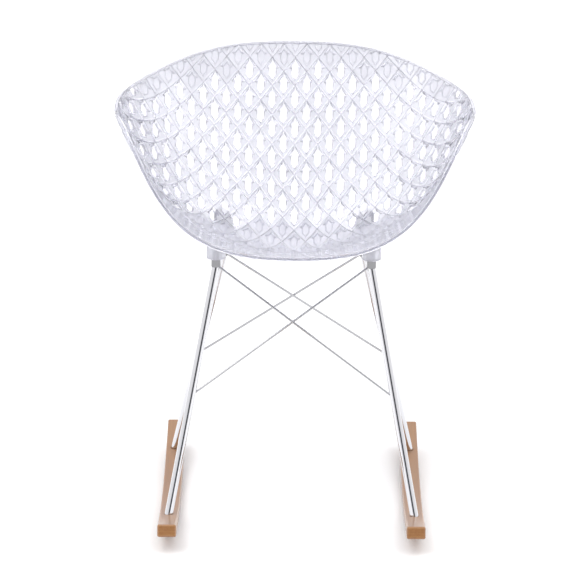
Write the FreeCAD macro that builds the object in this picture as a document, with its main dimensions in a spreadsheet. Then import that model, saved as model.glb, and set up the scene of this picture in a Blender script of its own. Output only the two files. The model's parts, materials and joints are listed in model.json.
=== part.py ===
import FreeCAD, Part
import math
import os

import Sketcher
from FreeCAD import Placement, Rotation, Vector

# Rocking chair: a clear one-piece tub seat on a chromed wire-braced frame and two bent-wood rockers.
# Millimetres. +Z is up, the front of the chair faces -Y, and +X is to the right seen from the front.
# The origin is on the floor, midway between the points where the two rockers touch it.
# "left" is the -X side and "right" the +X side.

SIZES = [
    # alias, value
    ("draw_tilt", 30.0),            # lean of the seat's moulding direction from vertical, degrees
    ("wall", 6.0),                  # seat wall thickness
    ("half_width", 306.0),          # seat outline across the moulding direction
    ("outline_mid", 349.0),
    ("outline_front", 309.0),
    ("outline_back", 246.0),
    ("bowl_side", 391.0),           # rise of the seat's sides
    ("boss_radius", 16.5),
    ("socket_radius", 6.3),
    ("socket_depth", 24.0),
    ("front_boss_half_span", 133.0),
    ("rear_boss_half_span", 124.0),
    ("boss_front", 100.0),          # bosses stand this far in front of and behind the origin
    ("front_boss_height", 462.0),
    ("rear_boss_height", 430.0),
    ("collar_radius", 8.0),
    ("collar_height", 13.5),
    ("spigot_radius", 5.0),
    ("spigot_height", 20.0),
    ("flange_thickness", 1.2),
    ("bush_clearance", 0.05),
    ("bush_height", 21.5),
    ("set_screw_radius", 2.5),
    ("set_screw_lift", 11.0),
    ("tube_radius", 7.0),
    ("tube_bore", 5.5),
    ("brace_radius", 2.0),
    ("brace_gap", 2.1),             # the two rods of a cross pass this far each side of its plane
    ("rocker_radius", 1620.0),
    ("rocker_height", 21.5),
    ("rocker_width", 32.0),
    ("rocker_half_length", 315.0),
    ("rocker_half_span", 210.5),
    ("rocker_round", 3.5),
    ("foot_reach", 194.0),          # feet stand this far in front of and behind the origin
    ("seat_depth", 1.0),            # round seat milled in the rocker for each foot
    ("seat_radius", 8.5),
    ("plug_height", 16.0),
    ("screw_radius", 2.5),
    ("screw_head_radius", 5.0),
    ("screw_head_height", 4.0),
    ("screw_recess_radius", 5.6),
    ("screw_recess_depth", 6.0),
    ("screw_reach", 11.0),
]

SIDES = {"left": -1.0, "right": 1.0}
ENDS = {"front": -1.0, "rear": 1.0}
UP = Vector(0, 0, 1)

doc = FreeCAD.newDocument("RockingChair")
sheet = doc.addObject("Spreadsheet::Sheet", "Sizes")
for row, (alias, value) in enumerate(SIZES, start=1):
    sheet.set("A%d" % row, alias)
    sheet.set("B%d" % row, str(value))
    sheet.setAlias("B%d" % row, alias)
doc.recompute()

nodes = []


def size(alias):
    """Value of one cell of the sheet."""
    return float(sheet.get(alias))


def cell(expression):
    """Expression that reads the sheet: every alias in it is written in braces."""
    return expression.replace("{", "Sizes.").replace("}", "")


def keep(obj, label):
    """Give a finished sub-part its name and list it for export."""
    obj.Label = label
    nodes.append(obj)
    return obj


def along(start, direction):
    """Placement that puts a local +Z axis at start, pointing along direction."""
    return Placement(start, Rotation(UP, direction))


def cylinder(name, radius, height, placement):
    """Part cylinder whose radius and height are sheet expressions."""
    obj = doc.addObject("Part::Cylinder", name)
    obj.setExpression("Radius", cell(radius))
    obj.setExpression("Height", cell(height))
    obj.Placement = placement
    return obj


def block(name, width, depth, height, placement):
    """Plain cutting block, centred on its local Z axis and standing on its local XY plane."""
    obj = doc.addObject("Part::Box", name)
    obj.Length, obj.Width, obj.Height = width, depth, height
    obj.Placement = placement.multiply(Placement(Vector(-width / 2, -depth / 2, 0), Rotation()))
    return obj


def cut(name, base, tool):
    obj = doc.addObject("Part::Cut", name)
    obj.Base, obj.Tool = base, tool
    return obj


def fuse(name, shapes):
    obj = doc.addObject("Part::MultiFuse", name)
    obj.Shapes = shapes
    return obj


def origin_plane(body, role):
    return next(f for f in body.Origin.OriginFeatures if f.Role == role)


def revolved(name, corners):
    """Turned body: a closed outline of (radius, height) sheet expressions, revolved about Z."""
    body = doc.addObject("PartDesign::Body", name)
    sketch = body.newObject("Sketcher::SketchObject", name + "_outline")
    sketch.AttachmentSupport = [(origin_plane(body, "XZ_Plane"), "")]
    sketch.MapMode = "FlatFace"
    scratch = [sheet.evalExpression(cell(e)) for corner in corners for e in corner]
    points = [Vector(float(x), float(y), 0) for x, y in zip(scratch[::2], scratch[1::2])]
    for i, point in enumerate(points):
        sketch.addGeometry(Part.LineSegment(point, points[(i + 1) % len(points)]))
    for i, (radius, height) in enumerate(corners):
        sketch.addConstraint(Sketcher.Constraint("Coincident", i - 1 if i else len(corners) - 1, 2, i, 1))
        for kind, expression, value in (("DistanceX", radius, points[i].x), ("DistanceY", height, points[i].y)):
            index = sketch.addConstraint(Sketcher.Constraint(kind, -1, 1, i, 1, value))
            sketch.setExpression("Constraints[%d]" % index, cell(expression))
    turn = body.newObject("PartDesign::Revolution", name + "_turned")
    turn.Profile = sketch
    turn.ReferenceAxis = (sketch, ["V_Axis"])
    turn.Angle = 360.0
    return body


def group(name, master, placements):
    """Identical solids that share one node."""
    doc.recompute()
    obj = doc.addObject("Part::Feature", name)
    copies = []
    for placement in placements:
        copy = master.Shape.copy()
        copy.Placement = placement.multiply(copy.Placement)
        copies.append(copy)
    obj.Shape = Part.makeCompound(copies)
    return obj


# ---- places that several pieces share -------------------------------------------------------

def boss_point(end, side):
    """Middle of a boss's lower face."""
    span = size(end + "_boss_half_span")
    return Vector(SIDES[side] * span, ENDS[end] * size("boss_front"), size(end + "_boss_height"))


def collar_base(end, side):
    """Middle of the pin collar's lower face, where the leg tube is welded."""
    return boss_point(end, side) - UP * (size("flange_thickness") + size("collar_height"))


def foot_frame(end, side):
    """Centre of the foot on the rocker's upper face, and that face's normal."""
    upper = size("rocker_radius") - size("rocker_height")
    angle = math.asin(ENDS[end] * size("foot_reach") / upper)
    normal = Vector(0, -math.sin(angle), math.cos(angle))
    centre = Vector(SIDES[side] * size("rocker_half_span"), 0, size("rocker_radius"))
    return centre - normal * upper, normal


def tube_ends(end, side):
    """Lower and upper ends of a leg's centre line."""
    foot, normal = foot_frame(end, side)
    return foot - normal * size("seat_depth"), collar_base(end, side)


# ---- seat shell -----------------------------------------------------------------------------
# The shell is a sheet drawn off its mould in one direction, so it is a height field: local X runs
# across, local Y up the mould plane and local Z along the draw direction.

SEAT_LEVEL = 464.6          # height of the seat line at SEAT_STATION
SEAT_STATION = 154.9
SEAT_FALL = 0.86            # how fast the seat line falls towards the back
BACK_LEVEL = 546.0          # height of the back line at BACK_STATION
BACK_STATION = 598.0
BACK_RISE = 0.81
BACK_BOW = 6.5e-4           # gentle outward bow of the back
BOW_STATION = 450.0
BEND = 40.6                 # size of the bend where the seat turns up into the back
LIP_STATION = 95.0          # the front lip rolls down below this station
LIP_ROLL = 0.003
SIDE_REFERENCE = 310.0
SIDE_STATION = 159.0        # the sides are steepest here, and fade towards the lip and the top
SIDE_FADE_FRONT = 780.0
SIDE_FADE_BACK = 299.0
SIDE_ROUND = 0.045          # share of the sides' rise that is a plain parabola
HOLLOW_DEPTH = 36.0           # the rear of the pan is dished
HOLLOW_STATION = 278.0
HOLLOW_FADE_FRONT = 143.0
HOLLOW_FADE_BACK = 43.0
HOLLOW_SPREAD = 120.0
SHOULDER_RISE = 35.0          # and the wall comes forward on each side of the small of the back
SHOULDER_STATION = 350.0
SHOULDER_FADE = 100.0


def centre_line(station):
    """Height of the shell's inner face on the centre plane."""
    seat = SEAT_LEVEL - SEAT_FALL * (station - SEAT_STATION)
    bow = BACK_BOW * (station - BOW_STATION) * (station - BACK_STATION)
    back = BACK_LEVEL + BACK_RISE * (station - BACK_STATION) - bow
    valley = (seat + back) / 2 + math.hypot((seat - back) / 2, BEND)
    return valley - LIP_ROLL * max(0.0, LIP_STATION - station) ** 2


def dish(x, station):
    """Extra height of the shell that dishes the pan and brings the back's shoulders forward."""
    fade = HOLLOW_FADE_FRONT if station < HOLLOW_STATION else HOLLOW_FADE_BACK
    across = (x / HOLLOW_SPREAD) ** 2
    hollow = HOLLOW_DEPTH * math.exp(-((station - HOLLOW_STATION) / fade) ** 2)
    shoulder = SHOULDER_RISE * across * math.exp(-((station - SHOULDER_STATION) / SHOULDER_FADE) ** 2)
    return (shoulder - hollow) * math.exp(-across)


def inner_height(x, station):
    """Height of the shell's inner face anywhere."""
    fade = SIDE_FADE_FRONT if station < SIDE_STATION else SIDE_FADE_BACK
    rise = size("bowl_side") * math.exp(-((station - SIDE_STATION) / fade) ** 2)
    across = (x / SIDE_REFERENCE) ** 2
    side = rise * (SIDE_ROUND * across + (1 - SIDE_ROUND) * across ** 2)
    return centre_line(station) + side + dish(x, station)


def sheet_height(x, station, depth):
    """Height of the face that lies depth below the inner face, measured square to it."""
    slope_x = (inner_height(x + 1, station) - inner_height(x - 1, station)) / 2
    slope_y = (inner_height(x, station + 1) - inner_height(x, station - 1)) / 2
    return inner_height(x, station) - depth * math.sqrt(1 + slope_x ** 2 + slope_y ** 2)


def region_below(depth):
    """Solid under the sheet face at the given depth, down to a level below the whole shell."""
    across = [(i - 20) * 16.5 for i in range(41)]
    stations = [20.0 + 20.0 * i for i in range(31)]
    grid = [[Vector(x, y, sheet_height(x, y, depth)) for y in stations] for x in across]
    surface = Part.BSplineSurface()
    surface.interpolate(grid)
    return surface.toShape().extrude(Vector(0, 0, -600))


def outline_column():
    """Solid column along the draw direction, with the seat's outline as its section."""
    points = []
    for i in range(48):
        angle = 2 * math.pi * i / 48
        back = math.sin(angle) > 0
        power = 2 / 2.65 if back else 2 / 2.05
        reach = size("outline_back") if back else size("outline_front")
        x = size("half_width") * math.copysign(abs(math.cos(angle)) ** power, math.cos(angle))
        y = size("outline_mid") + reach * math.copysign(abs(math.sin(angle)) ** power, math.sin(angle))
        points.append(Vector(x, y, 100))
    curve = Part.BSplineCurve()
    curve.interpolate(points, PeriodicFlag=True)
    return Part.Face(Part.Wire(curve.toShape())).extrude(Vector(0, 0, 900))


def seat_shell():
    placement = Placement(Vector(), Rotation(Vector(1, 0, 0), size("draw_tilt")))
    to_local = placement.inverse()
    under_inner = region_below(0.0)
    shell = under_inner.cut(region_below(size("wall"))).common(outline_column())
    sockets = []
    for end in ENDS:
        for side in SIDES:
            base = boss_point(end, side)
            boss = Part.makeCylinder(size("boss_radius"), 90, base)
            boss = boss.makeFillet(2.5, [e for e in boss.Edges if abs(e.BoundBox.ZMax - base.z) < 0.01])
            boss = boss.transformGeometry(to_local.toMatrix())
            shell = shell.fuse(boss.common(under_inner))
            sockets.append(Part.makeCylinder(size("socket_radius"), size("socket_depth"), base))
            screw_start = base + UP * size("set_screw_lift")
            inward = Vector(-SIDES[side], 0, 0)
            sockets.append(Part.makeCylinder(size("set_screw_radius") + 0.05, 40, screw_start, inward))
    for socket in sockets:
        shell = shell.cut(socket.transformGeometry(to_local.toMatrix()))
    obj = doc.addObject("Part::Feature", "SeatShell")
    obj.Shape = shell.removeSplitter()
    obj.Placement = placement
    return keep(obj, "seat_shell")


# ---- leg pins, bushes and set screws --------------------------------------------------------

def leg_pins():
    """Turned pins: a collar that the leg is welded under, and a spigot that enters the boss."""
    for end in ENDS:
        for side in SIDES:
            name = "%s_%s_pin" % (end, side)
            top = "{collar_height} + {flange_thickness} + {spigot_height}"
            body = revolved(name.title(), [
                ("0", "0"),
                ("{collar_radius} - 0.8", "0"),
                ("{collar_radius}", "0.8"),
                ("{collar_radius}", "{collar_height}"),
                ("{spigot_radius}", "{collar_height}"),
                ("{spigot_radius}", top + " - 1"),
                ("{spigot_radius} - 1", top),
                ("0", top),
            ])
            body.Placement = Placement(collar_base(end, side), Rotation())
            keep(body, name)


def boss_bushes():
    """Flanged plastic bushes between the pins and the sockets, bored for the set screws."""
    turned = revolved("Bush", [
        ("{spigot_radius} + {bush_clearance}", "0"),
        ("{collar_radius}", "0"),
        ("{collar_radius}", "{flange_thickness}"),
        ("{socket_radius} - {bush_clearance}", "{flange_thickness}"),
        ("{socket_radius} - {bush_clearance}", "{bush_height}"),
        ("{spigot_radius} + {bush_clearance}", "{bush_height}"),
    ])
    lift = size("flange_thickness") + size("set_screw_lift")
    drill = cylinder("BushDrill", "{set_screw_radius} + {bush_clearance}", "{collar_radius}",
                     along(Vector(0, 0, lift), Vector(1, 0, 0)))
    bush = cut("DrilledBush", turned, drill)
    places = []
    for end in ENDS:
        for side in SIDES:
            base = boss_point(end, side) - UP * size("flange_thickness")
            places.append(Placement(base, Rotation(UP, 0.0 if side == "left" else 180.0)))
    keep(group("BossBushes", bush, places), "boss_bushes")


def set_screws():
    """Hexagon-socket set screws that lock the pins in the bosses, from the chair's middle side."""
    outer = size("boss_radius") - 1.5 - size("spigot_radius") - size("bush_clearance")
    screw = cylinder("SetScrew", "{set_screw_radius}", str(outer), Placement())
    key = doc.addObject("Part::Prism", "SetScrewKey")
    key.Polygon, key.Circumradius, key.Height = 6, 1.45, 3.0
    key.Placement = Placement(Vector(0, 0, outer - 2.5), Rotation())
    master = cut("SetScrewCut", screw, key)
    places = []
    for end in ENDS:
        for side in SIDES:
            inward = Vector(-SIDES[side], 0, 0)
            start = boss_point(end, side) + UP * size("set_screw_lift")
            start = start + inward * (size("spigot_radius") + size("bush_clearance"))
            places.append(along(start, inward))
    keep(group("SetScrews", master, places), "boss_set_screws")


# ---- legs, plugs and braces -----------------------------------------------------------------

def floor_block(name, end, side, placement):
    """Everything under a foot's seat, in the leg's own frame."""
    foot, normal = foot_frame(end, side)
    seat = foot - normal * size("seat_depth")
    return block(name, 80, 80, 60, placement.inverse().multiply(along(seat, normal * -1)))


def legs():
    """Round tubes, trimmed square to the collar above and to the rocker below."""
    for end in ENDS:
        for side in SIDES:
            name = "%s_%s_leg" % (end, side)
            low, high = tube_ends(end, side)
            placement = along(low, high - low)
            length = (high - low).Length
            stretch = Placement(Vector(0, 0, -20), Rotation())
            solid = cylinder(name + "_rod", "{tube_radius}", str(length + 40), stretch)
            bore = cylinder(name + "_bore", "{tube_bore}", str(length + 40), stretch)
            above = block(name + "_above", 80, 80, 60, placement.inverse().multiply(along(high, UP)))
            below = floor_block(name + "_below", end, side, placement)
            leg = cut(name + "_tube", solid, fuse(name + "_waste", [bore, above, below]))
            leg.Placement = placement
            keep(leg, name)


def foot_plugs():
    """Steel plugs fixed in the tubes' lower ends, tapped for the rocker screws."""
    for end in ENDS:
        for side in SIDES:
            name = "%s_%s_foot_plug" % (end, side)
            low, high = tube_ends(end, side)
            foot, normal = foot_frame(end, side)
            placement = along(low, high - low)
            body = cylinder(name + "_bar", "{tube_bore} - {bush_clearance}", "{plug_height} + 10",
                            Placement(Vector(0, 0, -10), Rotation()))
            tapped = cylinder(name + "_tapped", "{screw_radius} + {bush_clearance}", "{screw_reach} + 1",
                              placement.inverse().multiply(along(low, normal)))
            below = floor_block(name + "_below", end, side, placement)
            plug = cut(name + "_plug", body, fuse(name + "_waste", [tapped, below]))
            plug.Placement = placement
            keep(plug, name)


BRACE_SHARE = {"front": 0.48, "rear": 0.50}     # how far up the leg a brace's lower end is
BRACE_LIFT = {"front": 4.5, "rear": 8.0}        # height of its upper end on the collar


def braces():
    """Crossed rods from each collar to the middle of the opposite leg, coped to the tubes."""
    for end in ENDS:
        for side, other in (("left", "right"), ("right", "left")):
            name = "%s_brace_from_%s" % (end, side)
            low, high = tube_ends(end, other)
            own_low, own_high = tube_ends(end, side)
            shift = Vector(0, SIDES[side] * size("brace_gap"), 0)
            start = collar_base(end, side) + UP * BRACE_LIFT[end] + shift
            stop = low + (high - low) * BRACE_SHARE[end] + shift
            placement = along(start, stop - start)
            to_local = placement.inverse()
            rod = cylinder(name + "_rod", "{brace_radius}", str((stop - start).Length), Placement())
            collar = cylinder(name + "_collar", "{collar_radius}", "{collar_height}",
                              to_local.multiply(Placement(collar_base(end, side), Rotation())))
            own = cylinder(name + "_own_leg", "{tube_radius}", str((own_high - own_low).Length + 20),
                           to_local.multiply(along(own_low, own_high - own_low)))
            far = cylinder(name + "_far_leg", "{tube_radius}", str((high - low).Length + 20),
                           to_local.multiply(along(low, high - low)))
            brace = cut(name + "_coped", rod, fuse(name + "_waste", [collar, own, far]))
            brace.Placement = placement
            keep(brace, name)


# ---- rockers and their screws ---------------------------------------------------------------

def rocker_blank(name):
    """Bent strip: two arcs about one centre, closed by radial ends, padded across and rounded."""
    body = doc.addObject("PartDesign::Body", name)
    sketch = body.newObject("Sketcher::SketchObject", name + "_outline")
    sketch.AttachmentSupport = [(origin_plane(body, "YZ_Plane"), "")]
    sketch.MapMode = "FlatFace"
    radius = size("rocker_radius")
    upper = radius - size("rocker_height")
    sweep = math.asin(size("rocker_half_length") / radius)
    first, last = -math.pi / 2 - sweep, -math.pi / 2 + sweep
    centre = Vector(0, radius, 0)
    for arc_radius in (radius, upper):
        sketch.addGeometry(Part.ArcOfCircle(Part.Circle(centre, Vector(0, 0, 1), arc_radius), first, last))

    def corner(arc_radius, angle):
        return centre + Vector(math.cos(angle), math.sin(angle), 0) * arc_radius

    sketch.addGeometry(Part.LineSegment(corner(radius, first), corner(upper, first)))
    sketch.addGeometry(Part.LineSegment(corner(radius, last), corner(upper, last)))
    joints = [(0, 1, 2, 1), (1, 1, 2, 2), (0, 2, 3, 1), (1, 2, 3, 2)]
    for one, one_end, two, two_end in joints:
        sketch.addConstraint(Sketcher.Constraint("Coincident", one, one_end, two, two_end))
    sketch.addConstraint(Sketcher.Constraint("Coincident", 0, 3, 1, 3))
    sketch.addConstraint(Sketcher.Constraint("PointOnObject", 0, 3, -2))
    driven = [
        (Sketcher.Constraint("Radius", 0, radius), "{rocker_radius}"),
        (Sketcher.Constraint("Radius", 1, upper), "{rocker_radius} - {rocker_height}"),
        (Sketcher.Constraint("DistanceY", -1, 1, 0, 3, radius), "{rocker_radius}"),
        (Sketcher.Constraint("DistanceX", 0, 1, -1, 1, size("rocker_half_length")), "{rocker_half_length}"),
        (Sketcher.Constraint("DistanceX", -1, 1, 0, 2, size("rocker_half_length")), "{rocker_half_length}"),
    ]
    for constraint, expression in driven:
        index = sketch.addConstraint(constraint)
        sketch.setExpression("Constraints[%d]" % index, cell(expression))
    pad = body.newObject("PartDesign::Pad", name + "_strip")
    pad.Profile = sketch
    pad.Midplane = True
    pad.setExpression("Length", cell("{rocker_width}"))
    doc.recompute()
    rounded = body.newObject("PartDesign::Fillet", name + "_rounded")
    rounded.Base = (pad, ["Edge%d" % (i + 1) for i in range(len(pad.Shape.Edges))])
    rounded.setExpression("Radius", cell("{rocker_round}"))
    body.Tip = rounded
    return body


def rockers():
    for side in SIDES:
        name = side + "_rocker"
        blank = rocker_blank(name + "_blank")
        centre = Placement(Vector(SIDES[side] * size("rocker_half_span"), 0, 0), Rotation())
        to_local = centre.inverse()
        tools = []
        for end in ENDS:
            foot, normal = foot_frame(end, side)
            seat = along(foot - normal * size("seat_depth"), normal)
            through = along(foot - normal * size("rocker_height"), normal)
            below = along(foot - normal * (size("rocker_height") + 2), normal)
            tools.append(cylinder(name + end + "_seat", "{seat_radius}", "{seat_depth} + 2",
                                  to_local.multiply(seat)))
            tools.append(cylinder(name + end + "_hole", "{screw_radius} + 0.3", "{rocker_height} + 2",
                                  to_local.multiply(through)))
            tools.append(cylinder(name + end + "_recess", "{screw_recess_radius}", "{screw_recess_depth} + 2",
                                  to_local.multiply(below)))
        rocker = cut(name + "_bored", blank, fuse(name + "_tools", tools))
        rocker.Placement = centre
        keep(rocker, name)


def rocker_screws():
    """Cylinder-head screws, up through the rockers into the foot plugs."""
    grip = size("rocker_height") - size("screw_recess_depth") - size("seat_depth")
    turned = revolved("RockerScrew", [
        ("0", "-1 * {screw_head_height}"),
        ("{screw_head_radius}", "-1 * {screw_head_height}"),
        ("{screw_head_radius}", "0"),
        ("{screw_radius}", "0"),
        ("{screw_radius}", "{rocker_height} - {screw_recess_depth} - {seat_depth} + {screw_reach}"),
        ("0", "{rocker_height} - {screw_recess_depth} - {seat_depth} + {screw_reach}"),
    ])
    key = doc.addObject("Part::Prism", "RockerScrewKey")
    key.Polygon, key.Circumradius, key.Height = 6, 2.3, 3.5
    key.Placement = Placement(Vector(0, 0, -size("screw_head_height") - 1), Rotation())
    master = cut("RockerScrewCut", turned, key)
    places = []
    for end in ENDS:
        for side in SIDES:
            foot, normal = foot_frame(end, side)
            places.append(along(foot - normal * (size("seat_depth") + grip), normal))
    keep(group("RockerScrews", master, places), "rocker_screws")


seat_shell()
leg_pins()
boss_bushes()
set_screws()
legs()
foot_plugs()
braces()
rockers()
rocker_screws()
doc.recompute()

for obj in doc.Objects:
    if "Invalid" in obj.State or "Error" in obj.State:
        raise RuntimeError("%s did not compute: %s" % (obj.Name, obj.State))

os.makedirs("parts", exist_ok=True)
for obj in nodes:
    shape = obj.Shape
    if shape.isNull() or not shape.isValid() or not shape.Solids:
        raise RuntimeError("%s has no valid solid" % obj.Label)
    shape.exportStep("parts/%s.step" % obj.Label)
    print("%-26s %2d solid(s) %10.0f mm3" % (obj.Label, len(shape.Solids), shape.Volume))
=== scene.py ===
import json
import math

import bmesh
import bpy
from mathutils import Quaternion, Vector

# Looks for the rocking chair: the openwork seat, and materials for the chromed frame and the rockers.
# The seat is worked out in millimetres in the frame of its mould: x across, t up the mould plane and
# w along the direction it is drawn. Objects are made in metres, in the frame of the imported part.
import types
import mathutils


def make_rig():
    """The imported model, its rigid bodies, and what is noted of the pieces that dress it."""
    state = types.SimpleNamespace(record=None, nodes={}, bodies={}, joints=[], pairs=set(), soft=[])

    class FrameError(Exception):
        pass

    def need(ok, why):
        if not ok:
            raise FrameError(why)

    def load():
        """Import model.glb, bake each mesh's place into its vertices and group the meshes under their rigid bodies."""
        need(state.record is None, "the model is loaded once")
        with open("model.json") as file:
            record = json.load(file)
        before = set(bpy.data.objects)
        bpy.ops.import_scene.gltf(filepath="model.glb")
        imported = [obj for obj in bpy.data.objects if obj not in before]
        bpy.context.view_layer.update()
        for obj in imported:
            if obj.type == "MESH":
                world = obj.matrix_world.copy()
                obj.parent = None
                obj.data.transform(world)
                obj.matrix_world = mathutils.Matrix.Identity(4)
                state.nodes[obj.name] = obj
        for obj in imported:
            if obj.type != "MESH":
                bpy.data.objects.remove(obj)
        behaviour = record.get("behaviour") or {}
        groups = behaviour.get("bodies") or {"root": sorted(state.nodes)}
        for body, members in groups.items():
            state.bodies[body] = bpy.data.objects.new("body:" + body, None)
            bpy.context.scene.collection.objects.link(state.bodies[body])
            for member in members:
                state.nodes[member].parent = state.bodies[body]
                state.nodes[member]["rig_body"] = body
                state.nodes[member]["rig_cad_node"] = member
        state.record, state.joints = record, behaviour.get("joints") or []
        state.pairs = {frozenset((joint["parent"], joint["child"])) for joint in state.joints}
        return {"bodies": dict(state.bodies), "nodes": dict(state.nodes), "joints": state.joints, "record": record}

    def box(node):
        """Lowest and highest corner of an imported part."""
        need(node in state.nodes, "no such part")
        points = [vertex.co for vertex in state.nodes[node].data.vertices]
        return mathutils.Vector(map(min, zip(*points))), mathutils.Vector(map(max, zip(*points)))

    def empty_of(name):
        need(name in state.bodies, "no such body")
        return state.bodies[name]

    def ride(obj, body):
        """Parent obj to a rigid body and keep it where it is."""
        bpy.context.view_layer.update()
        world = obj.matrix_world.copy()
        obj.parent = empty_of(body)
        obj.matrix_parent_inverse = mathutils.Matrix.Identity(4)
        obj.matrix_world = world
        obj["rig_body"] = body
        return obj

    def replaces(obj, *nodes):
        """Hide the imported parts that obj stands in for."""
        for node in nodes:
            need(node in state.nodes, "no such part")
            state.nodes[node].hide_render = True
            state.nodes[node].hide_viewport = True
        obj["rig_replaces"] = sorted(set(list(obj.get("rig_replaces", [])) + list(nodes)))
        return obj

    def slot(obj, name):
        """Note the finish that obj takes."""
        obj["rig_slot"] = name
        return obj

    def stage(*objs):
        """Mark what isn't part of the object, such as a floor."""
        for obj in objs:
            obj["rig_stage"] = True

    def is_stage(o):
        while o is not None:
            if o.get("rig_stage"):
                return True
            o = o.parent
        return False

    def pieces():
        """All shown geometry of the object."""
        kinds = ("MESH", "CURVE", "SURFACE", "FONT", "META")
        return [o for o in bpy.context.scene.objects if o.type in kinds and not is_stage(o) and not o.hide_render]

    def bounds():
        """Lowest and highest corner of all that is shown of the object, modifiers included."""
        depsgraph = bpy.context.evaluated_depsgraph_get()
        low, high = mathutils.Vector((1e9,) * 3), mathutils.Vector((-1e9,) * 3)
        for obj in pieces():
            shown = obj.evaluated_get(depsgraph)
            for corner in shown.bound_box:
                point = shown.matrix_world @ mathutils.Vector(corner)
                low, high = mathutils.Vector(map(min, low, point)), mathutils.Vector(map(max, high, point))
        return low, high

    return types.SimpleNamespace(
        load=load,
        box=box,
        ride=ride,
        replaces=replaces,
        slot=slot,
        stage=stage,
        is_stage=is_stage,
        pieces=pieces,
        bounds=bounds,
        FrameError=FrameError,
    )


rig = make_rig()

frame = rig.load()
cad_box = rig.bounds()

MM = 0.001

# ---- form of the seat shell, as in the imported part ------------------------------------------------

DRAW_TILT = math.radians(30)
SEAT_LEVEL = 464.6
SEAT_STATION = 154.9
SEAT_FALL = 0.86
BACK_LEVEL = 546.0
BACK_STATION = 598.0
BACK_RISE = 0.81
BACK_BOW = 6.5e-4
BOW_STATION = 450.0
BEND = 40.6
LIP_STATION = 95.0
LIP_ROLL = 0.003
SIDE_REFERENCE = 310.0
SIDE_RISE = 391.0
SIDE_STATION = 159.0
SIDE_FADE_FRONT = 780.0
SIDE_FADE_BACK = 299.0
SIDE_ROUND = 0.045
HOLLOW_DEPTH = 36.0
HOLLOW_STATION = 278.0
HOLLOW_FADE_FRONT = 143.0
HOLLOW_FADE_BACK = 43.0
HOLLOW_SPREAD = 120.0
SHOULDER_RISE = 35.0
SHOULDER_STATION = 350.0
SHOULDER_FADE = 100.0
HALF_WIDTH = 306.0
OUTLINE_MID = 349.0
OUTLINE_FRONT = 309.0
OUTLINE_BACK = 246.0
WALL = 6.0


def centre_line(t):
    seat = SEAT_LEVEL - SEAT_FALL * (t - SEAT_STATION)
    bow = BACK_BOW * (t - BOW_STATION) * (t - BACK_STATION)
    back = BACK_LEVEL + BACK_RISE * (t - BACK_STATION) - bow
    valley = (seat + back) / 2 + math.hypot((seat - back) / 2, BEND)
    return valley - LIP_ROLL * max(0.0, LIP_STATION - t) ** 2


def dish(x, t):
    """Extra height that dishes the pan and brings the back's shoulders forward."""
    fade = HOLLOW_FADE_FRONT if t < HOLLOW_STATION else HOLLOW_FADE_BACK
    across = (x / HOLLOW_SPREAD) ** 2
    hollow = HOLLOW_DEPTH * math.exp(-((t - HOLLOW_STATION) / fade) ** 2)
    shoulder = SHOULDER_RISE * across * math.exp(-((t - SHOULDER_STATION) / SHOULDER_FADE) ** 2)
    return (shoulder - hollow) * math.exp(-across)


def inner_height(x, t):
    """w of the shell's inner face."""
    fade = SIDE_FADE_FRONT if t < SIDE_STATION else SIDE_FADE_BACK
    rise = SIDE_RISE * math.exp(-((t - SIDE_STATION) / fade) ** 2)
    across = (x / SIDE_REFERENCE) ** 2
    side = rise * (SIDE_ROUND * across + (1 - SIDE_ROUND) * across ** 2)
    return centre_line(t) + side + dish(x, t)


def to_row(x, t, w):
    """Point of the mould frame in the part's frame, in metres."""
    c, s = math.cos(DRAW_TILT), math.sin(DRAW_TILT)
    return Vector((x, t * c - w * s, t * s + w * c)) * MM


def normal_at(x, t):
    """Unit normal of the inner face, towards the sitter, in the mould frame."""
    slope_x = (inner_height(x + 1, t) - inner_height(x - 1, t)) / 2
    slope_t = (inner_height(x, t + 1) - inner_height(x, t - 1)) / 2
    return Vector((-slope_x, -slope_t, 1)).normalized()


def shell_point(x, t, lift):
    """Point at lift above the middle of the wall, square to it."""
    n = normal_at(x, t)
    rise = lift - WALL / 2
    return to_row(x + n.x * rise, t + n.y * rise, inner_height(x, t) + n.z * rise)


def outline_at(angle, inset=0.0):
    """Point of the seat's outline in the mould plane."""
    back = math.sin(angle) > 0
    power = 2 / 2.65 if back else 2 / 2.05
    reach = OUTLINE_BACK if back else OUTLINE_FRONT
    c, s = math.cos(angle), math.sin(angle)
    x = (HALF_WIDTH - inset) * math.copysign(abs(c) ** power, c)
    t = OUTLINE_MID + (reach - inset) * math.copysign(abs(s) ** power, s)
    return x, t


# ---- openwork lattice -----------------------------------------------------------------------------
# One cell is a diamond. Narrow bars run along its edges, shared with the four cells round it, and
# cross in small peaks. A thin web inside the bars holds an elongated hexagonal opening. Above the
# opening a roof rises to a ridge, slopes down to the eaves and drops to a gutter; a lip edges the
# opening's sides and foot. The cells of the pan, the front rim and the top band are closed by a skin.

COLUMN = 20.2               # the cells' columns are this far apart
ROW = 20.35                 # neighbouring columns are staggered by this
FIRST_ROW = 347.5
CELLS_FROM = 10.0           # the middles of the cells lie between these stations
CELLS_TO = 620.0
OUTLINE_INSET = 2.8         # the lattice ends this far inside the outline, under the bead
SHOULDER_SIZE = 0.965       # sizes of a bar's shoulder and foot, as shares of the whole diamond
BAR_FOOT_SIZE = 0.90

# Half thicknesses.
PEAK = 2.3                  # where two bars cross
BAR_RIDGE = 1.9
BAR_SHOULDER = 1.35
ROOF = 3.4                  # along the roof's ridge
EAVES = 1.7
UPPER_LIP = 2.5             # at the head of the opening
LIP = 2.0
WEB = 1.0
SKIN = 0.8

# Right half of the opening and of the skin's edge, as (top, upper, lower, bottom) points.
OPENING = ((0.0, 11.4), (4.9, 5.6), (4.9, -5.6), (0.0, -11.4))
SKIN_EDGE = ((0.0, 9.4), (4.5, 4.7), (4.5, -4.7), (0.0, -9.4))
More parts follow.
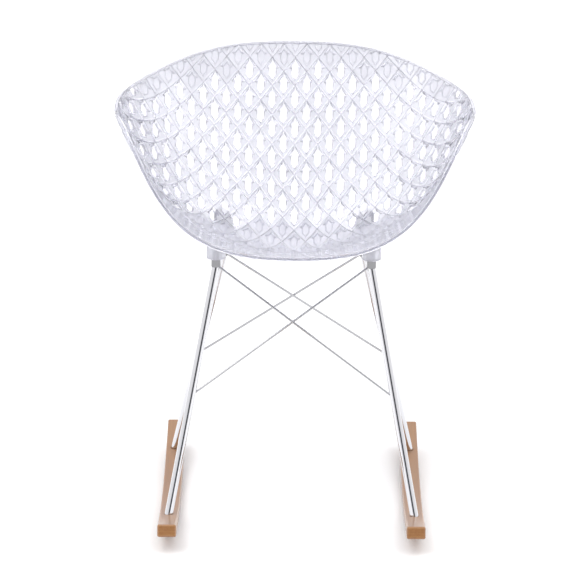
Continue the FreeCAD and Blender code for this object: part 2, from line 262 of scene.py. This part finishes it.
# Other points of the right half.
RIDGE_TOP = (0.0, 12.8)
RIDGE_END = (6.7, 5.8)
ROOF_TOP = (0.0, 16.8)
ROOF_END = (10.3, 5.4)
ROOF_EAVES = (10.1, 4.0)
ROOF_GUTTER = (11.6, 5.9)
SIDE_FOOT = ((6.9, 3.6), (6.9, -5.8))
BOTTOM_FOOT = (0.0, -13.9)

# The closed cells: a pan with a bowed back edge, a band along the front rim and one along the top.
PAN_BACK = 335.0
PAN_BOW = 50.0
PAN_BOW_SPAN = 220.0
PAN_HALF_WIDTH = 225.0
RIM_BAND = 22.0
RIM_BAND_END = 360.0
TOP_BAND = 30.0
TOP_BAND_BOW = 1.1e-3
UPPER_PART = 450.0          # cells above this station belong to the upper part of the back

POLISHED, MATT, HAZY = 0, 1, 2      # places of the lattice's materials


def diamond(share, level, corner_level):
    """Eight points, anticlockwise from the top: the corners and the middles of the edges."""
    ring = []
    for x, t in ((0, 1), (-0.5, 0.5), (-1, 0), (-0.5, -0.5), (0, -1), (0.5, -0.5), (1, 0), (0.5, 0.5)):
        corner = x == 0 or t == 0
        ring.append((x * share * COLUMN, t * share * ROW, corner_level if corner else level))
    return ring


def band(low, high):
    """Quadrilaterals between two rings of the same number of points."""
    count = len(low)
    return [[low[(i + 1) % count], low[i], high[i], high[(i + 1) % count]] for i in range(count)]


def opening_edge():
    """Right half of the opening's edge, thicker along its head."""
    return [(x, t, h) for (x, t), h in zip(OPENING, (UPPER_LIP, UPPER_LIP, LIP, LIP))]


def roof_and_lip():
    """Polygons of the right half of a cell, from the opening outwards to the web."""
    top, upper, lower, bottom = opening_edge()
    ridge_top, ridge_end = (*RIDGE_TOP, ROOF), (*RIDGE_END, ROOF)
    roof_top, roof_end = (*ROOF_TOP, EAVES), (*ROOF_END, EAVES)
    eaves, gutter = (*ROOF_EAVES, WEB), (*ROOF_GUTTER, WEB)
    side_up, side_low = [(x, t, WEB) for x, t in SIDE_FOOT]
    foot = (*BOTTOM_FOOT, WEB)
    corner = diamond(BAR_FOOT_SIZE, WEB, WEB)[0]
    return [
        [top, upper, ridge_end, ridge_top],
        [ridge_top, ridge_end, roof_end, roof_top],
        [roof_top, roof_end, gutter, corner],
        [roof_end, eaves, gutter],
        [upper, side_up, ridge_end],
        [ridge_end, side_up, eaves, roof_end],
        [upper, lower, side_low, side_up],
        [lower, bottom, foot, side_low],
    ]


def web():
    """Flat web of the right half of a cell."""
    eaves, gutter, foot = [(*point, WEB) for point in (ROOF_EAVES, ROOF_GUTTER, BOTTOM_FOOT)]
    side_up, side_low = [(*point, WEB) for point in SIDE_FOOT]
    t, _, _, _, b, br, r, tr = diamond(BAR_FOOT_SIZE, WEB, WEB)
    return [
        [t, gutter, tr],
        [gutter, r, tr],
        [gutter, eaves, r],
        [eaves, side_up, side_low, r],
        [side_low, br, r],
        [side_low, foot, b, br],
    ]


def skin():
    """Thin floor across the right half of a closed cell's opening."""
    edge = [(x, t, SKIN) for x, t in SKIN_EDGE]
    rim = opening_edge()
    return [edge] + [[edge[i], edge[i + 1], rim[i + 1], rim[i]] for i in range(3)]


def cell_faces(closed, upper):
    """Polygons of one cell as lists of (x, t, half thickness), and the surface of each."""
    filled = MATT if upper else HAZY
    halves = [(face, filled if closed else POLISHED) for face in roof_and_lip()]
    halves += [(face, filled if closed else MATT) for face in web()]
    if closed:
        halves += [(face, filled) for face in skin()]
    faces = halves + [([(-x, t, h) for x, t, h in face], surface) for face, surface in halves]
    bar_foot = diamond(BAR_FOOT_SIZE, WEB, WEB)
    shoulder = diamond(SHOULDER_SIZE, BAR_SHOULDER, BAR_SHOULDER)
    ridge = diamond(1.0, BAR_RIDGE, PEAK)
    bars = band(bar_foot, shoulder) + band(shoulder, ridge)
    return faces + [(face, MATT if closed else POLISHED) for face in bars]


def signed_area(face):
    return sum(a[0] * b[1] - b[0] * a[1] for a, b in zip(face, face[1:] + face[:1])) / 2


def clip_to_outline(face, outline):
    """Part of a polygon inside the outline, a convex anticlockwise list of points."""
    for (ax, at), (bx, bt) in zip(outline, outline[1:] + outline[:1]):
        def side(p):
            return (bx - ax) * (p[1] - at) - (bt - at) * (p[0] - ax)
        if all(side(p) >= 0 for p in face):
            continue
        kept = []
        for p, q in zip(face, face[1:] + face[:1]):
            sp, sq = side(p), side(q)
            if sp >= 0:
                kept.append(p)
            if (sp >= 0) != (sq >= 0):
                k = sp / (sp - sq)
                kept.append(tuple(u + (v - u) * k for u, v in zip(p, q)))
        face = kept
        if len(face) < 3:
            return []
    return face


def is_closed(x, t):
    """Cells of the pan, of the front rim and of the top band are closed by a thin skin."""
    pan = abs(x) < PAN_HALF_WIDTH and t < PAN_BACK - PAN_BOW * (x / PAN_BOW_SPAN) ** 2
    across = x / (HALF_WIDTH - RIM_BAND)
    along = (t - OUTLINE_MID) / (OUTLINE_FRONT - RIM_BAND)
    rim = t < RIM_BAND_END and across ** 2 + along ** 2 > 1
    top = t > UPPER_PART and t > OUTLINE_MID + OUTLINE_BACK - TOP_BAND - TOP_BAND_BOW * x ** 2
    return pan or rim or top


def lattice():
    outline = [outline_at(2 * math.pi * i / 144, inset=OUTLINE_INSET) for i in range(144)]
    bm = bmesh.new()
    verts = {}

    def vert(p, sign):
        key = (round(p[0], 2), round(p[1], 2), sign)
        if key not in verts:
            verts[key] = bm.verts.new(shell_point(p[0], p[1], sign * p[2]))
        return key, verts[key]

    edges = {}
    columns = int(HALF_WIDTH / COLUMN) + 2
    rows = int(OUTLINE_BACK / ROW) + 20
    for i in range(-columns, columns + 1):
        for j in range(-2 * rows, 2 * rows + 1):
            if (i + j) % 2:
                continue
            cx, ct = i * COLUMN, FIRST_ROW + j * ROW
            if not CELLS_FROM < ct < CELLS_TO:
                continue
            for face, surface in cell_faces(is_closed(cx, ct), ct > UPPER_PART):
                face = [(cx + x, ct + t, h) for x, t, h in face]
                if signed_area(face) < 0:
                    face = face[::-1]
                face = clip_to_outline(face, outline)
                if len(face) < 3 or abs(signed_area(face)) < 0.05:
                    continue
                add_pair(bm, face, surface, vert, edges)
    close_edges(bm, verts, edges)
    for v in [v for v in bm.verts if not v.link_faces]:
        bm.verts.remove(v)
    return bm


def add_pair(bm, face, surface, vert, edges):
    """Adds a polygon of the inner side and the matching one of the outer side."""
    keys = []
    for p in face:
        key = vert(p, 1)[0][:2]
        if not keys or (key != keys[-1] and key != keys[0]):
            keys.append(key)
            vert(p, -1)
    if len(keys) < 3:
        return
    lookup = {(round(p[0], 2), round(p[1], 2)): p for p in face}
    points = [lookup[k] for k in keys]
    try:
        pair = [bm.faces.new([vert(p, 1)[1] for p in points]),
                bm.faces.new([vert(p, -1)[1] for p in reversed(points)])]
    except ValueError:
        return
    for made in pair:
        made.material_index = surface
    for a, b in zip(keys, keys[1:] + keys[:1]):
        edges[(a, b)] = edges.get((a, b), 0) + 1


def close_edges(bm, verts, edges):
    """Walls wherever only one polygon uses an edge: round the openings and the outline."""
    for a, b in edges:
        if (b, a) in edges:
            continue
        corners = [verts[(*b, 1)], verts[(*a, 1)], verts[(*a, -1)], verts[(*b, -1)]]
        if len(set(corners)) == 4:
            bm.faces.new(corners)


# ---- rim bead --------------------------------------------------------------------------------------

BEAD_IN = -4.5              # the bead runs from here, inside the outline, to here, outside it
BEAD_OUT = 1.0
BEAD_HALF = 3.2


def bead_section():
    """Section as (outward, lift) points: two ridges with a groove between, on both faces."""
    mid = (BEAD_IN + BEAD_OUT) / 2
    upper = [(BEAD_IN, 1.8), (BEAD_IN + 1.0, BEAD_HALF - 0.6), (BEAD_IN + 2.2, BEAD_HALF),
             (mid - 0.4, BEAD_HALF - 0.4), (mid, BEAD_HALF - 1.8), (mid + 0.4, BEAD_HALF - 0.4),
             (BEAD_OUT - 2.0, BEAD_HALF), (BEAD_OUT - 0.8, BEAD_HALF - 0.8), (BEAD_OUT, 1.8)]
    lower = [(u, -v) for u, v in reversed(upper)]
    return upper + lower


def rim_bead():
    bm = bmesh.new()
    steps = 360
    section = bead_section()
    rings = []
    for i in range(steps):
        angle = 2 * math.pi * (i + 0.5) / steps
        x, t = outline_at(angle)
        here = shell_point(x, t, 0)
        ahead = shell_point(*outline_at(angle + 0.002), 0)
        tangent = (ahead - here).normalized()
        n = normal_at(x, t)
        normal = (to_row(n.x, n.y, n.z) / MM).normalized()
        outward = tangent.cross(normal).normalized()
        rings.append([bm.verts.new(here + (outward * u + normal * v) * MM) for u, v in section])
    for one, two in zip(rings, rings[1:] + rings[:1]):
        for k in range(len(section)):
            m = (k + 1) % len(section)
            bm.faces.new([one[k], one[m], two[m], two[k]])
    bmesh.ops.recalc_face_normals(bm, faces=bm.faces)
    return bm


# ---- bosses ----------------------------------------------------------------------------------------

BOSS_RADIUS = 16.5
SOCKET_RADIUS = 6.3
SOCKET_DEPTH = 24.0
SOCKET_CHAMFER = 0.8
BOSS_ROUND = 2.5
BOSS_EDGE = 1.5
BOSS_TOP_LIFT = -1.0        # the boss ends this far from the middle of the wall
SPIGOT_HEIGHT = 20.0
BOSS_SEARCH = (380.0, 620.0)        # the wall is between these heights above a boss


def wall_level(x, y, lift):
    """Height in the part's frame of the wall's middle, plus lift, above a floor point."""
    c, s = math.cos(DRAW_TILT), math.sin(DRAW_TILT)
    low, high = BOSS_SEARCH
    for _ in range(40):
        z = (low + high) / 2
        if z * c - y * s < inner_height(x, y * c + z * s) - WALL / 2 + lift:
            low = z
        else:
            high = z
    return low


def boss(centre):
    """Round boss under the seat, bored for the pin, with a rounded lower edge."""
    cx, cy, base = (v / MM for v in centre)
    bm = bmesh.new()
    profile = [(0.0, SOCKET_DEPTH), (SOCKET_RADIUS, SOCKET_DEPTH)]
    profile += [(SOCKET_RADIUS, SOCKET_CHAMFER), (SOCKET_RADIUS + SOCKET_CHAMFER, 0.0)]
    for k in range(5):
        turn = math.radians(22.5 * k)
        out, up = math.sin(turn) - 1, 1 - math.cos(turn)
        profile.append((BOSS_RADIUS + BOSS_ROUND * out, BOSS_ROUND * up))
    profile += [(BOSS_RADIUS, None), (BOSS_RADIUS - BOSS_EDGE, None), (0.0, None)]     # on the wall
    count = 48
    rings = []
    for radius, lift in profile:
        ring = []
        for i in range(count if radius else 1):
            a = 2 * math.pi * i / count
            x, y = cx + radius * math.cos(a), cy + radius * math.sin(a)
            z = base + lift if lift is not None else wall_level(x, y, BOSS_TOP_LIFT)
            ring.append(bm.verts.new(Vector((x, y, z)) * MM))
        rings.append(ring)
    for one, two in zip(rings, rings[1:]):
        for i in range(count):
            j = (i + 1) % count
            corners = [one[i % len(one)], one[j % len(one)], two[j % len(two)], two[i % len(two)]]
            corners = list(dict.fromkeys(corners))
            if len(corners) > 2:
                bm.faces.new(corners)
    bmesh.ops.recalc_face_normals(bm, faces=bm.faces)
    return bm


# ---- materials -------------------------------------------------------------------------------------

def new_material(name):
    material = bpy.data.materials.new(name)
    material.use_nodes = True
    tree = material.node_tree
    return material, tree, tree.nodes["Principled BSDF"]


def node(tree, kind, inputs=None, **settings):
    made = tree.nodes.new("ShaderNode" + kind)
    for key, value in settings.items():
        setattr(made, key, value)
    for key, value in (inputs or {}).items():
        if isinstance(value, bpy.types.NodeSocket):
            tree.links.new(value, made.inputs[key])
        else:
            made.inputs[key].default_value = value
    return made


def ramp(tree, fac, stops):
    made = node(tree, "ValToRGB", {"Fac": fac})
    elements = made.color_ramp.elements
    while len(elements) < len(stops):
        elements.new(0.5)
    for element, (place, colour) in zip(elements, stops):
        element.position = place
        element.color = (*colour, 1)
    return made.outputs["Color"]


def clear_plastic(name, clarity, roughness, body=(0.89, 0.89, 0.955)):
    """Clear moulded plastic: faint lavender body, a trace of haze and flow ripples."""
    material, tree, shader = new_material(name)
    place = node(tree, "TexCoord").outputs["Object"]
    haze = node(tree, "TexNoise", {"Vector": place, "Scale": 9.0, "Detail": 2.0}).outputs["Fac"]
    colour = ramp(tree, haze, [(0.3, body), (0.7, tuple(c + 0.03 for c in body))])
    ripple = node(tree, "TexNoise", {"Vector": place, "Scale": 160.0, "Detail": 1.0}).outputs["Fac"]
    bump = node(tree, "Bump", {"Height": ripple, "Strength": 0.05, "Distance": 0.0005})
    tree.links.new(colour, shader.inputs["Base Color"])
    tree.links.new(bump.outputs["Normal"], shader.inputs["Normal"])
    shader.inputs["Roughness"].default_value = roughness
    shader.inputs["IOR"].default_value = 1.58
    shader.inputs["Transmission Weight"].default_value = clarity
    return material


def chrome(name, tone):
    """Chromium plate with the faintest polishing streaks; a low tone gives a darker copy that paints shade."""
    material, tree, shader = new_material(name)
    place = node(tree, "TexCoord").outputs["Object"]
    streak = node(tree, "TexNoise", {"Vector": place, "Scale": 220.0, "Detail": 3.0}).outputs["Fac"]
    rough = node(tree, "MapRange", {"Value": streak, "To Min": 0.05, "To Max": 0.12}).outputs["Result"]
    tree.links.new(rough, shader.inputs["Roughness"])
    shader.inputs["Base Color"].default_value = (tone, tone, tone * 1.03, 1)
    shader.inputs["Metallic"].default_value = 1.0
    return material


ROCKER_RADIUS = 1.62
PLY = 0.0024


def light_wood():
    """Bent laminated wood: plies follow the rocker's curve, with long grain in each."""
    material, tree, shader = new_material("light_wood")
    place = node(tree, "TexCoord").outputs["Object"]
    parts = node(tree, "SeparateXYZ", {"Vector": place})
    drop = node(tree, "Math", {0: ROCKER_RADIUS, 1: parts.outputs["Z"]}, operation="SUBTRACT").outputs[0]
    flat = node(tree, "CombineXYZ", {"X": parts.outputs["Y"], "Y": drop}).outputs["Vector"]
    radius = node(tree, "VectorMath", {0: flat}, operation="LENGTH").outputs["Value"]
    ply = node(tree, "Math", {0: radius, 1: 1 / PLY, 2: 0.5}, operation="MULTIPLY_ADD").outputs[0]
    layer = node(tree, "Math", {0: ply}, operation="FLOOR").outputs[0]
    within = node(tree, "Math", {0: ply}, operation="FRACT").outputs[0]
    layer_tone = node(tree, "TexWhiteNoise", {"W": layer}, noise_dimensions="1D").outputs["Value"]
    along = {"X": parts.outputs["X"], "Y": parts.outputs["Y"], "Z": layer}
    run = node(tree, "CombineXYZ", along).outputs["Vector"]
    stretch = node(tree, "Mapping", {"Vector": run, "Scale": (190.0, 7.0, 3.7)}).outputs["Vector"]
    grain = node(tree, "TexNoise", {"Vector": stretch, "Scale": 1.0, "Detail": 6.0, "Roughness": 0.65,
                                    "Distortion": 0.4}).outputs["Fac"]
    broad = node(tree, "Mapping", {"Vector": place, "Scale": (30.0, 2.2, 30.0)}).outputs["Vector"]
    figure = node(tree, "TexNoise", {"Vector": broad, "Scale": 1.0, "Detail": 3.0}).outputs["Fac"]
    tone = node(tree, "MapRange", {"Value": figure, "From Min": 0.2, "From Max": 0.8}).outputs["Result"]
    shade = node(tree, "Math", {0: grain, 1: 0.55}, operation="MULTIPLY").outputs[0]
    for part, share in ((tone, 0.25), (layer_tone, 0.20)):
        shade = node(tree, "Math", {0: part, 1: share, 2: shade}, operation="MULTIPLY_ADD").outputs[0]
    colour = ramp(tree, shade, [(0.25, (0.23, 0.098, 0.030)), (0.45, (0.295, 0.131, 0.042)),
                                (0.7, (0.36, 0.174, 0.058))])
    joint = ramp(tree, within, [(0.0, (0.55, 0.55, 0.55)), (0.06, (1, 1, 1)), (1.0, (1, 1, 1))])
    both = {"Fac": 1.0, "Color1": colour, "Color2": joint}
    glued = node(tree, "MixRGB", both, blend_type="MULTIPLY").outputs["Color"]
    tree.links.new(glued, shader.inputs["Base Color"])
    rough = node(tree, "MapRange", {"Value": grain, "To Min": 0.32, "To Max": 0.48}).outputs["Result"]
    tree.links.new(rough, shader.inputs["Roughness"])
    bump = node(tree, "Bump", {"Height": grain, "Strength": 0.12, "Distance": 0.0004})
    tree.links.new(bump.outputs["Normal"], shader.inputs["Normal"])
    shader.inputs["Coat Weight"].default_value = 0.6
    shader.inputs["Coat Roughness"].default_value = 0.14
    return material


def plain_steel():
    """Turned, zinc-plated steel."""
    material, tree, shader = new_material("plain_steel")
    place = node(tree, "TexCoord").outputs["Object"]
    lines = node(tree, "Mapping", {"Vector": place, "Scale": (60.0, 60.0, 1400.0)}).outputs["Vector"]
    turned = node(tree, "TexNoise", {"Vector": lines, "Scale": 1.0, "Detail": 2.0}).outputs["Fac"]
    colour = ramp(tree, turned, [(0.3, (0.44, 0.45, 0.47)), (0.7, (0.60, 0.61, 0.62))])
    tree.links.new(colour, shader.inputs["Base Color"])
    rough = node(tree, "MapRange", {"Value": turned, "To Min": 0.22, "To Max": 0.38}).outputs["Result"]
    tree.links.new(rough, shader.inputs["Roughness"])
    shader.inputs["Metallic"].default_value = 1.0
    return material


def pale_plastic():
    """Natural nylon of the bushes, slightly translucent."""
    material, tree, shader = new_material("pale_plastic")
    place = node(tree, "TexCoord").outputs["Object"]
    cloud = node(tree, "TexNoise", {"Vector": place, "Scale": 90.0, "Detail": 3.0}).outputs["Fac"]
    colour = ramp(tree, cloud, [(0.3, (0.74, 0.75, 0.79)), (0.7, (0.82, 0.83, 0.86))])
    tree.links.new(colour, shader.inputs["Base Color"])
    shader.inputs["Roughness"].default_value = 0.42
    shader.inputs["Transmission Weight"].default_value = 0.25
    return material


def assign(material, *names):
    for name in names:
        data = frame["nodes"][name].data
        data.materials.clear()
        data.materials.append(material)


# ---- the chair -------------------------------------------------------------------------------------

CORNERS = [end + "_" + side for end in ("front", "rear") for side in ("left", "right")]


def add_piece(name, bm, material):
    mesh = bpy.data.meshes.new(name)
    bm.to_mesh(mesh)
    bm.free()
    piece = bpy.data.objects.new(name, mesh)
    bpy.context.scene.collection.objects.link(piece)
    mesh.materials.append(material)
    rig.ride(piece, "root")
    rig.slot(piece, "clear_shell")
    return piece


def dress_frame():
    braces = ["%s_brace_from_%s" % (e, s) for e in ("front", "rear") for s in ("left", "right")]
    assign(chrome("chrome", 0.73), *[c + "_leg" for c in CORNERS])
    # Braces and pins take darker copies of the legs' chrome: painted shade, not a different plating.
    assign(chrome("brace_chrome", 0.50), *braces)
    assign(chrome("pin_chrome", 0.27), *[c + "_pin" for c in CORNERS])
    assign(light_wood(), "left_rocker", "right_rocker")
    assign(plain_steel(), "boss_set_screws", "rocker_screws", *[c + "_foot_plug" for c in CORNERS])
    assign(pale_plastic(), "boss_bushes")


def build_seat():
    clear = clear_plastic("clear_shell", 0.84, 0.05)
    solid = clear_plastic("clear_boss", 0.62, 0.24)
    net = add_piece("seat_lattice", lattice(), clear)
    net.data.materials.append(clear_plastic("matt_web", 0.60, 0.30, (0.84, 0.84, 0.90)))
    net.data.materials.append(clear_plastic("hazy_pan", 0.50, 0.35, (0.81, 0.81, 0.88)))
    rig.replaces(net, "seat_shell")
    bead = add_piece("seat_rim", rim_bead(), clear)
    for polygon in bead.data.polygons:
        polygon.use_smooth = True
    for corner in CORNERS:
        low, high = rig.box(corner + "_pin")
        base = ((low[0] + high[0]) / 2, (low[1] + high[1]) / 2, high[2] - SPIGOT_HEIGHT * MM)
        piece = add_piece(corner + "_boss", boss(base), solid)
        for polygon in piece.data.polygons:
            polygon.use_smooth = True
        piece.data.set_sharp_from_angle(angle=math.radians(40))


# ---- stage, lights and camera ----------------------------------------------------------------------

FLOOR_HALF = 14.0
GAP_AZIMUTH = 0.10          # where the dark gap of the studio is, in radians from the front
LOW_TO_HIGH = (0.33, 0.62)  # heights of the view direction over which the walls change
SOFTBOX_EDGE = (0.74, 0.88)
SOFTBOX = (1.7, 1.7, 1.7, 1)


def add_floor():
    bm = bmesh.new()
    corners = ((-1, -1), (1, -1), (1, 1), (-1, 1))
    bm.faces.new([bm.verts.new((x * FLOOR_HALF, y * FLOOR_HALF, 0)) for x, y in corners])
    mesh = bpy.data.meshes.new("floor")
    bm.to_mesh(mesh)
    bm.free()
    floor = bpy.data.objects.new("floor", mesh)
    bpy.context.scene.collection.objects.link(floor)
    material, tree, shader = new_material("pale_floor")
    shader.inputs["Base Color"].default_value = (0.93, 0.93, 0.93, 1)
    shader.inputs["Roughness"].default_value = 0.9
    shader.inputs["Specular IOR Level"].default_value = 0.0
    mesh.materials.append(material)
    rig.stage(floor)


def add_sun(name, azimuth, elevation, strength, spread):
    """Far soft light: azimuth 0 is the camera's side, positive towards +X."""
    data = bpy.data.lights.new(name, "SUN")
    data.energy = strength
    data.angle = math.radians(spread)
    light = bpy.data.objects.new(name, data)
    a, e = math.radians(azimuth), math.radians(elevation)
    source = Vector((math.sin(a) * math.cos(e), -math.cos(a) * math.cos(e), math.sin(e)))
    light.rotation_euler = source.to_track_quat("Z", "Y").to_euler()
    light.location = source * 5
    bpy.context.scene.collection.objects.link(light)


def step_between(tree, value, limits):
    """Rises from 0 to 1 as the value passes from the first limit to the second."""
    low, high = limits
    return node(tree, "MapRange", {"Value": value, "From Min": low, "From Max": high}).outputs["Result"]


def add_world():
    """Pale walls with a narrow dark gap in front, dimmer behind; higher up, dimmer in front; a softbox."""
    world = bpy.data.worlds.new("studio")
    world.use_nodes = True
    bpy.context.scene.world = world
    tree = world.node_tree
    background = tree.nodes["Background"]
    direction = node(tree, "TexCoord").outputs["Generated"]
    parts = node(tree, "SeparateXYZ", {"Vector": direction})
    height = parts.outputs["Z"]
    front = node(tree, "Math", {0: parts.outputs["Y"], 1: -1.0}, operation="MULTIPLY").outputs[0]
    azimuth = node(tree, "Math", {0: parts.outputs["X"], 1: front}, operation="ARCTAN2").outputs[0]
    offset = node(tree, "Math", {0: azimuth, 1: GAP_AZIMUTH}, operation="SUBTRACT").outputs[0]
    off_gap = node(tree, "Math", {0: offset}, operation="ABSOLUTE").outputs[0]
    share = node(tree, "Math", {0: off_gap, 1: math.pi}, operation="DIVIDE").outputs[0]
    low = ramp(tree, share, [(0.0, (0.03, 0.03, 0.035)), (0.07, (0.06, 0.06, 0.07)),
                             (0.11, (0.55, 0.55, 0.57)), (0.22, (0.92, 0.92, 0.93)),
                             (0.62, (0.95, 0.95, 0.96)), (0.80, (0.70, 0.70, 0.75)),
                             (1.0, (0.66, 0.66, 0.71))])
    high = ramp(tree, share, [(0.0, (0.62, 0.62, 0.64)), (0.35, (0.84, 0.84, 0.86)),
                              (0.55, (0.95, 0.95, 0.97)), (1.0, (0.95, 0.95, 0.95))])
    upward = step_between(tree, height, LOW_TO_HIGH)
    walls = node(tree, "MixRGB", {"Fac": upward, "Color1": low, "Color2": high}).outputs["Color"]
    overhead = step_between(tree, height, SOFTBOX_EDGE)
    whole = node(tree, "MixRGB", {"Fac": overhead, "Color1": walls, "Color2": SOFTBOX})
    tree.links.new(whole.outputs["Color"], background.inputs["Color"])
    background.inputs["Strength"].default_value = 1.1


CAMERA_DISTANCE = 7.5
CAMERA_HEIGHT_ANGLE = math.radians(15.0)
CAMERA_ROLL = math.radians(0.5)
TARGET = Vector((-0.0025, 0.0, 0.3767))
SENSOR = 36.0
LENS = 266.3


def add_camera():
    data = bpy.data.cameras.new("camera")
    data.lens = LENS
    data.sensor_width = SENSOR
    data.clip_end = 100.0
    camera = bpy.data.objects.new("camera", data)
    e = CAMERA_HEIGHT_ANGLE
    camera.location = TARGET + Vector((0, -math.cos(e), math.sin(e))) * CAMERA_DISTANCE
    aim = (TARGET - camera.location).to_track_quat("-Z", "Y")
    camera.rotation_euler = (aim @ Quaternion((0, 0, 1), CAMERA_ROLL)).to_euler()
    bpy.context.scene.collection.objects.link(camera)
    bpy.context.scene.camera = camera


dress_frame()
build_seat()
add_floor()
add_sun("key", -38, 52, 0.6, 30)
add_sun("fill", 50, 44, 0.35, 40)
add_world()
add_camera()
bpy.context.scene.view_settings.view_transform = "Standard"

new_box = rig.bounds()
with open("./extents.json", "w") as out:
    json.dump({"cad": [list(c) for c in cad_box], "visual": [list(c) for c in new_box]}, out)
